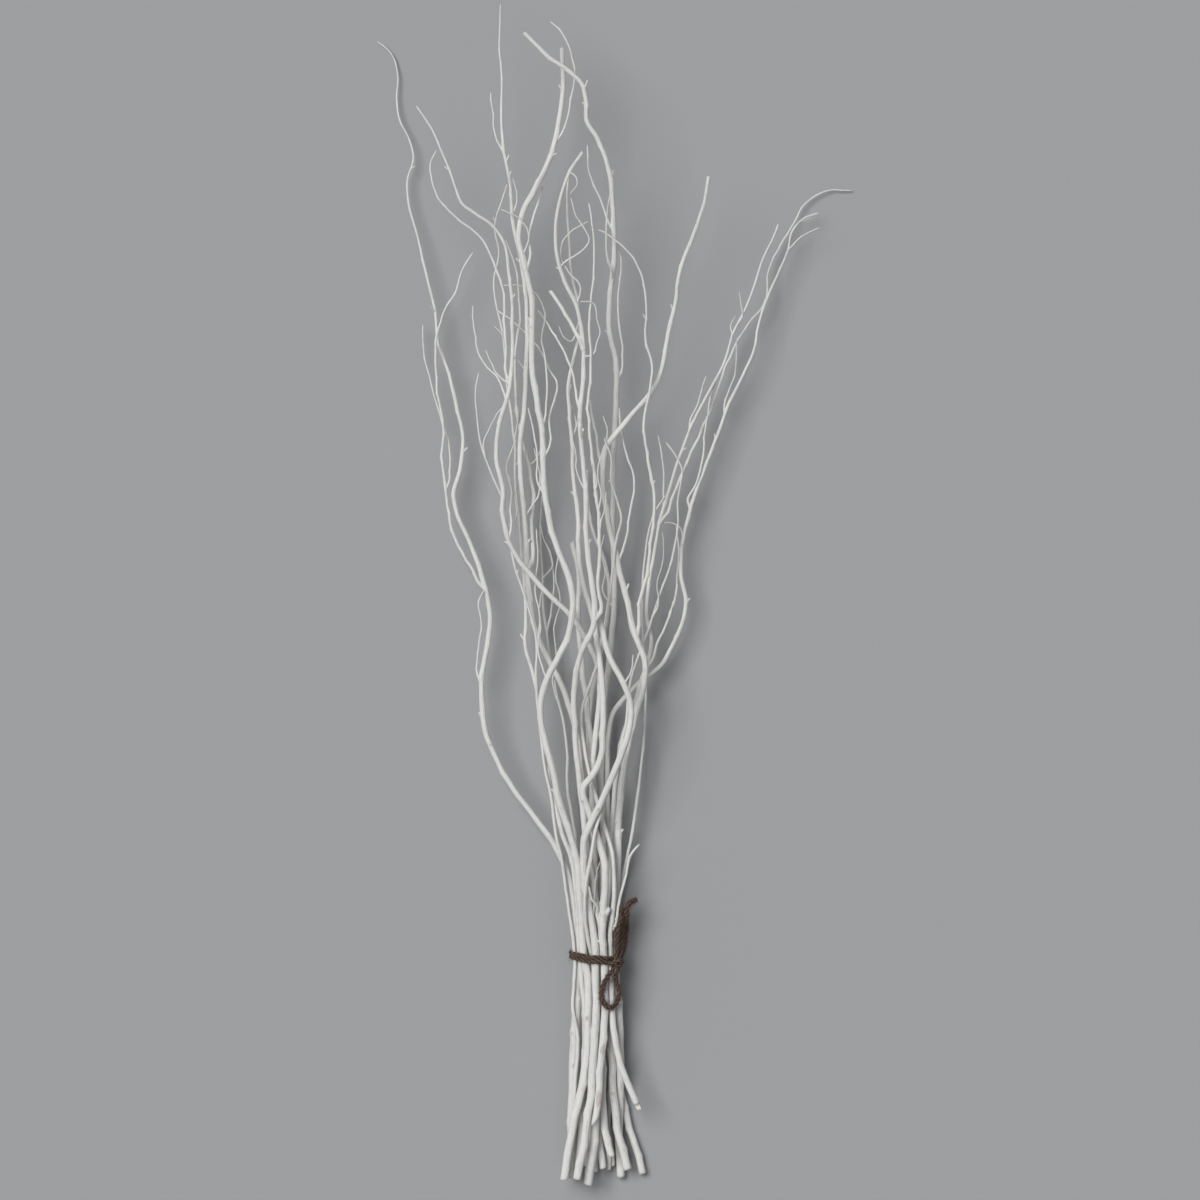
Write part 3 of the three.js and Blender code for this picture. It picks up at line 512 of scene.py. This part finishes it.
class Finish:
    """A material whose shader sockets are set by name."""

    def __init__(self, name):
        self.material = bpy.data.materials.new(name)
        self.material.use_nodes = True
        self.tree = self.material.node_tree
        self.shader = next(n for n in self.tree.nodes if n.type == "BSDF_PRINCIPLED")

    def node(self, kind, settings, *inputs, out=0, **named):
        made = self.tree.nodes.new(kind)
        for key, value in settings.items():
            setattr(made, key, value)
        for key, value in [*enumerate(inputs), *named.items()]:
            self.feed(made.inputs[key if isinstance(key, int) else key.replace("_", " ")], value)
        return Signal(self, made.outputs[out])

    def feed(self, socket, value):
        if isinstance(value, Signal):
            self.tree.links.new(value.socket, socket)
        else:
            socket.default_value = value

    def set(self, **sockets):
        for key, value in sockets.items():
            self.feed(self.shader.inputs[key.replace("_", " ")], value)

    def noise(self, where, scale, detail=2.0, roughness=0.5):
        return self.node("ShaderNodeTexNoise", {}, Vector=where, Scale=scale, Detail=detail,
                         Roughness=roughness)

    def place(self):
        return self.node("ShaderNodeTexCoord", {}, out="Object")

    def attribute(self, name, out):
        return self.node("ShaderNodeAttribute", {"attribute_name": name}, out=out)

    def blend(self, share, one, two):
        made = self.tree.nodes.new("ShaderNodeMix")
        made.data_type = "RGBA"
        self.feed(made.inputs[0], share)
        self.feed(made.inputs[6], one)
        self.feed(made.inputs[7], two)
        return Signal(self, made.outputs[2])

    def bump(self, height, strength, distance):
        return self.node("ShaderNodeBump", {}, Strength=strength, Distance=distance,
                         Height=height)


def painted_bark():
    paint = Finish("white painted willow bark")
    place, grain = paint.place(), paint.attribute("grain", "Vector")
    wear_and_painted_shade = paint.attribute("wear_and_painted_shade", "Fac")
    cloud = paint.noise(place, 22.0, 3.0).above(0.35, 0.7)
    streak = paint.noise(grain, 900.0, 4.0, 0.65)
    crease = paint.noise(grain, 420.0, 3.0, 0.7)
    fine = paint.noise(place, 2400.0, 3.0, 0.6)
    blotch = paint.noise(place, 130.0, 4.0, 0.65)
    white, cool, warm = (0.77, 0.765, 0.74, 1), (0.68, 0.68, 0.665, 1), (0.7, 0.65, 0.61, 1)
    colour = paint.blend(cloud * 0.5, white, cool)
    colour = paint.blend(blotch.above(0.54, 0.7) * 0.4, colour, warm)
    colour = paint.blend(streak.above(0.54, 0.7) * 0.35, colour, (0.5, 0.46, 0.42, 1))
    patch = paint.noise(place, 30.0, 2.0).above(0.45, 0.62)
    colour = paint.blend(crease.above(0.57, 0.66) * patch * 0.45, colour, (0.45, 0.4, 0.365, 1))
    # On the bark this layer holds only real wear: pinkish-brown where the paint is thin at buds and
    # scars.
    bare = (wear_and_painted_shade + (crease - 0.5) * 2.2 + (blotch - 0.5) * 1.8).above(0.5, 1.1)
    colour = paint.blend(bare * 0.55, colour, (0.4, 0.33, 0.29, 1))
    specks = paint.noise(place, 800.0, 2.0).above(0.71, 0.77)
    colour = paint.blend(specks * 0.55, colour, (0.24, 0.19, 0.16, 1))
    height = streak * 0.6 - crease * 1.2 + fine * 0.2 + blotch * 0.5
    paint.set(Base_Color=colour, Roughness=0.6 + streak * 0.2,
              Normal=paint.bump(height, 0.9, 1.0 * MM))
    paint.shader.inputs["Specular IOR Level"].default_value = 0.3
    return paint.material


def jute(name, lighter):
    twine = Finish(name)
    place, grain = twine.place(), twine.attribute("grain", "Vector")
    # How far each ply faces into the twine: the mask for the painted shade in the grooves.
    painted_groove_shade = 1 - twine.attribute("wear_and_painted_shade", "Fac")
    fibre = twine.noise(grain, 3000.0, 3.0, 0.65)
    patch = twine.noise(place, 210.0, 3.0)
    dark, brown, pale = (0.042, 0.027, 0.02), (0.165, 0.115, 0.088), (0.52, 0.415, 0.34)
    dark, brown, pale = [(*(c * lighter for c in shade), 1) for shade in (dark, brown, pale)]
    colour = twine.blend(fibre.above(0.38, 0.56), dark, brown)
    colour = twine.blend(fibre.above(0.54, 0.7) * 0.85, colour, pale)
    colour = twine.blend(patch.above(0.5, 0.75) * 0.25, colour, dark)
    # Painted shade: the plies go dark in the grooves between them, where they face into the twine.
    colour = twine.blend(painted_groove_shade.above(0.2, 0.55) * 0.92, colour, dark)
    twine.set(Base_Color=colour, Roughness=0.88, Normal=twine.bump(fibre, 0.9, 0.6 * MM))
    twine.shader.inputs["Specular IOR Level"].default_value = 0.15
    return twine.material


def raw_wood():
    wood = Finish("raw willow wood")
    grain = wood.attribute("grain", "Vector")
    fibre = wood.noise(grain, 1500.0, 3.0)
    colour = wood.blend(fibre.above(0.4, 0.65), (0.93, 0.9, 0.83, 1), (0.78, 0.7, 0.57, 1))
    wood.set(Base_Color=colour, Roughness=0.7, Normal=wood.bump(fibre, 0.4, 0.3 * MM))
    return wood.material


PAINTED = painted_bark()
RAW_WOOD = raw_wood()
JUTE = jute("dark brown jute", 1.0)
FUZZ = jute("jute fuzz", 1.4)

# ---- growing the branches ----
def run_into_parent(run, parent):
    """Starts a branch inside its stem, a little below where it leaves it."""
    start, radius = run[0]
    step = parent.nearest(start)
    dip = 2.0 * parent.radii[step] + 2.5 * radius
    low = step
    while low > 0 and parent.far[step] - parent.far[low] < dip:
        low -= 1
    inside = parent.points[low]
    return [(inside, radius * 1.05), (inside.lerp(start, 0.55), radius * 1.12), *run]


def swell_at_fork(bark, start, radius):
    """A stem is thicker on the side where a branch leaves it."""
    spine = bark.spine
    step = spine.nearest(start)
    turn = spine.turn_toward(step, start - spine.points[step])
    width = 1.6 * spine.radii[step] + radius
    bark.knot(spine.far[step], turn, 0.2 * spine.radii[step], width, 0.5)


barks = {}
branch_nodes = [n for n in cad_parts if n.startswith(("stem_", "fork_"))]
for n, node in enumerate(sorted(branch_nodes, key=lambda n: (n.startswith("fork"), n))):
    run, forked = marks_of(node), node in GROWS_ON
    if forked:
        parent = barks[GROWS_ON[node]]
        swell_at_fork(parent, *run[0])
        run = run_into_parent(run, parent.spine)
    slim = run[-1][1] < SLIM_TIP and forked
    spine = Spine(run, TWIG_STEP if forked else STEM_STEP, SLIM_CURL if slim else STEM_CURL)
    barks[node] = Bark(spine, n + STEM_SEED, *(SLIM_BUDS if slim else STEM_BUDS))
spines = {node: bark.spine for node, bark in barks.items()}

TORN_ENDS = {"stem_k": -1.5}  # a long slanted tear, its tongue on the left
SPLIT_ENDS = {"stem_j"}  # snapped, with raw splinters
CUT_TIPS = {"stem_d", "stem_e", "stem_g", "stem_l", "stem_n", "stem_s", "fork_l2", "fork_g3"}

for node, spine in spines.items():
    bark, forked = barks[node], node in GROWS_ON
    bm = new_bark_mesh()
    for stem, along, hand, width, rise in SCARS:
        if stem == node:
            step = spine.at_along(along)
            turn = spine.turn_toward(step, Vector((hand, 0, 1)))
            bark.knot(spine.far[step], turn, rise * MM, width * MM, SCAR_WEAR)
    for stem, along, length, thick, hand in SNAGS:
        if stem == node:
            step = spine.at_along(along)
            turn = spine.turn_toward(step, Vector((hand, 0, 0.35)))
            add_snag(bm, bark, step, length * MM, thick * MM, turn)
    tip = "cut" if node in CUT_TIPS else "fine"
    surface = ended(bark, "root" if forked else "cut", tip)
    verts = rod(bm, spine, TWIG_SIDES if forked else STEM_SIDES, surface,
                note_for(bm, spine, bark.wear_and_painted_shade))
    last = len(spine.points) - 1
    if not forked:
        if node in TORN_ENDS:
            cut_slantwise(verts, spine, 0, TORN_ENDS[node], 0)
        else:
            cut_slantwise(verts, spine, 0, bark.rng.uniform(0.05, 0.4), bark.rng.uniform(0, 6))
        dish_cut(bm, spine, 0)
    if tip == "cut":
        cut_slantwise(verts, spine, last, bark.rng.uniform(0.4, 0.9), bark.rng.uniform(0, 6))
    add_piece(bm, "bark_" + node, PAINTED, [node])
    if node in SPLIT_ENDS:
        add_splinters(spine, node)

for n, (name, (stem, root, tip, rise, run)) in enumerate(FINE_TWIGS.items()):
    parent = spines[stem]
    start = placed(*run[0])
    step = min(range(len(parent.points)), key=lambda i: (parent.points[i].xy - start.xy).length)
    base = parent.points[step].z
    count = len(run) - 1
    line = []
    for i, (across, along) in enumerate(run):
        t = i / count
        spot = placed(across, along)
        spot.z = max(base + rise * MM * t, LOWEST_TWIG)
        line.append((spot, (root * (1 - t) + tip * t) / 2 * MM))
    line[0] = (parent.points[step].copy(), line[0][1])
    spine = Spine(line, FINE_STEP, SLIM_CURL)
    bark = Bark(spine, n + FINE_SEED, *FINE_BUDS)
    bm = new_bark_mesh()
    rod(bm, spine, FINE_SIDES, ended(bark, "root", "fine"), note_for(bm, spine, bark.wear_and_painted_shade))
    add_piece(bm, name, PAINTED)


# ---- twine ----
def add_ply(bm, core, ply, thick, lay):
    """One ply of a twine, wound round the twine's core."""
    def centre(i):
        turn = math.tau * (core.far[i] / lay + ply / PLIES)
        out = core.side[i] * math.cos(turn) + core.over[i] * math.sin(turn)
        return core.points[i] + out * thick * PLY_OUT

    strand = Spine([(centre(i), thick * PLY_RADIUS) for i in range(len(core.points))], 5 * MM)
    last = len(strand.points) - 1
    grain, clear_of_painted_shade = bm.verts.layers.float_vector["grain"], bm.verts.layers.float["wear_and_painted_shade"]

    def radius_at(step, angle):
        rough = noise.noise(Vector((math.cos(angle) * 1.6, math.sin(angle) * 1.6,
                                    strand.far[step] * 260 + ply * 9)))
        return strand.radii[step] * (1 + 0.15 * rough) * (0.7 if step in (0, last) else 1)

    def note(vert, step, angle):
        twist = angle + math.tau * strand.far[step] / (11 * MM)
        vert[grain] = Vector((math.cos(twist) * 0.0014, math.sin(twist) * 0.0014,
                              strand.far[step] * 0.16 + ply))
        facing = strand.side[step] * math.cos(angle) + strand.over[step] * math.sin(angle)
        out = (strand.points[step] - core.points[step]).normalized()
        # How far this side of the ply faces out of the twine; the jute material paints shade where
        # it faces in.
        vert[clear_of_painted_shade] = 0.5 + 0.5 * facing.dot(out)

    rod(bm, strand, 10, radius_at, note)


def lay_twine(bm, core, thick=TWINE, lay=TWINE_LAY):
    for ply in range(PLIES):
        add_ply(bm, core, ply, thick, lay)


def closed_run(points, extra=3):
    """A ring of marks that overlaps its own start, so that its seam is buried."""
    return points + points[:extra]


def tie_outline(along, spread):
    """Round the stems where they are tied, as a string pulled tight lies: across and height."""
    spots = []
    for node in spines:
        if node.startswith("fork_"):
            continue
        spine = spines[node]
        step = spine.at_along(along)
        if abs(spine.points[step].y - LAYOUT_Y - along * MM) > 4 * MM:
            continue
        for k in range(16):
            turn = k * math.tau / 16
            reach = spine.radii[step] + spread
            spots.append(Vector((spine.points[step].x + math.cos(turn) * reach,
                                 spine.points[step].z + math.sin(turn) * reach)))
    hull = [spots[i] for i in convex_hull_2d(spots)]
    total = sum((a - b).length for a, b in zip(hull, hull[1:] + hull[:1]))
    evenly, far, edge = [], 0.0, 0
    for n in range(TIE_MARKS):
        goal = total * n / TIE_MARKS
        while far + (hull[(edge + 1) % len(hull)] - hull[edge]).length < goal:
            far += (hull[(edge + 1) % len(hull)] - hull[edge]).length
            edge += 1
        a, b = hull[edge], hull[(edge + 1) % len(hull)]
        evenly.append(a.lerp(b, (goal - far) / max((b - a).length, 1e-9)))
    return evenly


def twine_turn(name, node, along, climb):
    outline = tie_outline(along, TWINE * 0.47)
    left = min(p.x for p in outline)
    right = max(p.x for p in outline)
    ring = []
    for n, spot in enumerate(outline):
        share = (right - spot.x) / (right - left)
        wander = 0.8 * noise.noise(Vector((n * 0.35, along, 0)))
        height = LAYOUT_Y + (along + climb * share**3 + wander) * MM
        ring.append(Vector((spot.x, height, spot.y)))
    spine = Spine([(p, TWINE / 2) for p in closed_run(ring)], TWINE_STEP)
    bm = new_bark_mesh()
    lay_twine(bm, spine)
    return add_piece(bm, name, JUTE, [node]), spine


turns = [
    twine_turn("twine_lower_turn", "twine_turn_lower", 221.5, 5.4),
    twine_turn("twine_upper_turn", "twine_turn_upper", 225.3, 5.6),
]

# The bow's free lengths keep the routes of their CAD tubes.
bow_spines, bow_ends = [], []
for node, far_end, name in (
    ("twine_loop_low", "object", "bow_loop_low"),
    ("twine_loop_high", "object", "bow_loop_high"),
    ("twine_tail", "bare", "bow_tail"),
):
    run = marks_of(node)
    knot = middle("twine_knot")
    if (run[-1][0] - knot).length < (run[0][0] - knot).length:
        run = run[::-1]
    spine = Spine([(p, TWINE / 2) for p, _ in run], TWINE_STEP)
    bm = new_bark_mesh()
    lay_twine(bm, spine)
    piece = add_piece(bm, name, JUTE, [node])
    bow_spines.append(spine)
    bow_ends += [(spine, 0), (spine, -1)] if far_end == "object" else [(spine, 0)]


def tie_knot():
    """Strands that cross over the ends of the bow, where these run into the knot."""
    centre = middle("twine_knot")
    low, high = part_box("twine_turn_lower")
    hub = (low + high) / 2
    out = Vector((centre.x - hub.x, 0, (centre.z - hub.z) * 1.35)).normalized()
    across, along = Vector((out.z, 0, -out.x)), Vector((0, 1, 0))
    bm = new_bark_mesh()
    strands = (
        [(-7.5, -2.5, -2.6), (-5.5, -1.5, 0.4), (-2.5, 0.0, 2.6), (1.0, 0.8, 3.0), (4.6, 0.8, 1.4),
         (6.8, 0.0, -1.6), (6.6, -1.4, -4.0)],
        [(-2.0, -5.2, 0.6), (0.8, -4.4, 1.8), (3.8, -3.6, 1.2), (5.6, -2.0, -0.8)],
    )
    for strand in strands:
        run = [(centre + (across * a + along * b + out * c) * MM, TWINE / 2) for a, b, c in strand]
        lay_twine(bm, Spine(run, TWINE_STEP))
    for line, end in bow_ends:
        spot, way = line.points[end], line.ahead[end] * (1 if end else -1)
        run = [spot - way * 0.6 * MM, spot + way * 2.4 * MM,
               (spot + way * 4 * MM).lerp(centre, 0.7)]
        lay_twine(bm, Spine([(p, TWINE / 2) for p in run], TWINE_STEP))
    add_piece(bm, "bow_knot", JUTE, ["twine_knot"])


tie_knot()


def loose_fibre(line, rng):
    """Marks of a fibre that stands off the twine and curls, or None where it meets the floor."""
    step = rng.randrange(2, len(line.points) - 2)
    turn = rng.uniform(0, math.tau)
    across = line.side[step] * math.cos(turn) + line.over[step] * math.sin(turn)
    start = line.points[step] + across * TWINE * 0.42
    lean = across * rng.uniform(0.25, 1.0) + line.ahead[step] * rng.uniform(-1.4, 1.4)
    bend = Vector([rng.uniform(-1, 1) for _ in range(3)])
    length = rng.uniform(1.2, 5.2) * MM
    run = [(start + (lean.normalized() * t + bend * 0.4 * t * t) * length,
            (0.11 - 0.05 * t) * MM) for t in (0, 0.4, 0.75, 1)]
    return run if min(p.z for p, _ in run) > 0.3 * MM else None


def mark_clear_of_painted_shade(bm):
    clear_of_painted_shade = bm.verts.layers.float["wear_and_painted_shade"]

    def note(vert, step, angle):
        # Loose fibres stand clear of the twine, so they get none of the painted groove shade.
        vert[clear_of_painted_shade] = 1.0

    return note


def grow_fuzz(lines, tufts, fibres, seed):
    """Loose fibres, grown a tuft at a time and gathered into one piece."""
    rng = random.Random(seed)
    fuzz, tuft_mesh = new_bark_mesh(), bpy.data.meshes.new("tuft")
    for _ in range(tufts):
        tuft = new_bark_mesh()
        for _ in range(fibres):
            run = loose_fibre(rng.choice(lines), rng)
            if run:
                hair = Spine(run, 2 * MM)
                rod(tuft, hair, 3, lambda n, a, hair=hair: hair.radii[n], mark_clear_of_painted_shade(tuft))
        tuft.to_mesh(tuft_mesh)
        tuft.free()
        fuzz.from_mesh(tuft_mesh)
    bpy.data.meshes.remove(tuft_mesh)
    add_piece(fuzz, "twine_fuzz", FUZZ)


grow_fuzz([turns[0][1], turns[1][1], *bow_spines, *bow_spines], 90, 40, 11)


# ---- studio ----
def set_studio():
    """A wide pale floor under one soft high lamp from the left and an even grey sky."""
    bm = bmesh.new()
    bmesh.ops.create_grid(bm, x_segments=1, y_segments=1, size=60)
    mesh = bpy.data.meshes.new("floor")
    bm.to_mesh(mesh)
    bm.free()
    floor = bpy.data.objects.new("floor", mesh)
    bpy.context.scene.collection.objects.link(floor)
    cover = Finish("pale studio floor")
    cover.set(Base_Color=(0.36, 0.362, 0.368, 1), Roughness=0.95)
    mesh.materials.append(cover.material)
    for name, source, spread, strength in (
        ("key_light", (-0.42, 0.3, 1.0), 34, 2.4),
        ("fill_light", (0.5, -0.9, 1.1), 60, 0.15),
    ):
        light = bpy.data.lights.new(name, "SUN")
        light.energy, light.angle = strength, math.radians(spread)
        lamp = bpy.data.objects.new(name, light)
        lamp.rotation_euler = (-Vector(source)).to_track_quat("-Z", "Y").to_euler()
        bpy.context.scene.collection.objects.link(lamp)
    world = bpy.data.worlds.new("studio")
    world.use_nodes = True
    sky = world.node_tree.nodes["Background"]
    sky.inputs["Color"].default_value = (0.95, 0.97, 1, 1)
    sky.inputs["Strength"].default_value = 0.22
    bpy.context.scene.world = world
    bpy.context.scene.view_settings.view_transform = "Standard"


def set_camera():
    """Looks straight down on the bundle, tips at the top of the view."""
    view_mm, frame_along, mid_height = 1200, 584, 0.05
    distance = 12
    data = bpy.data.cameras.new("camera")
    data.sensor_width = 36
    data.lens = 36 * distance / (view_mm * MM)
    camera = bpy.data.objects.new("camera", data)
    camera.location = placed(0, frame_along) + UP * (distance + mid_height)
    bpy.context.scene.collection.objects.link(camera)
    bpy.context.scene.camera = camera


set_studio()
set_camera()
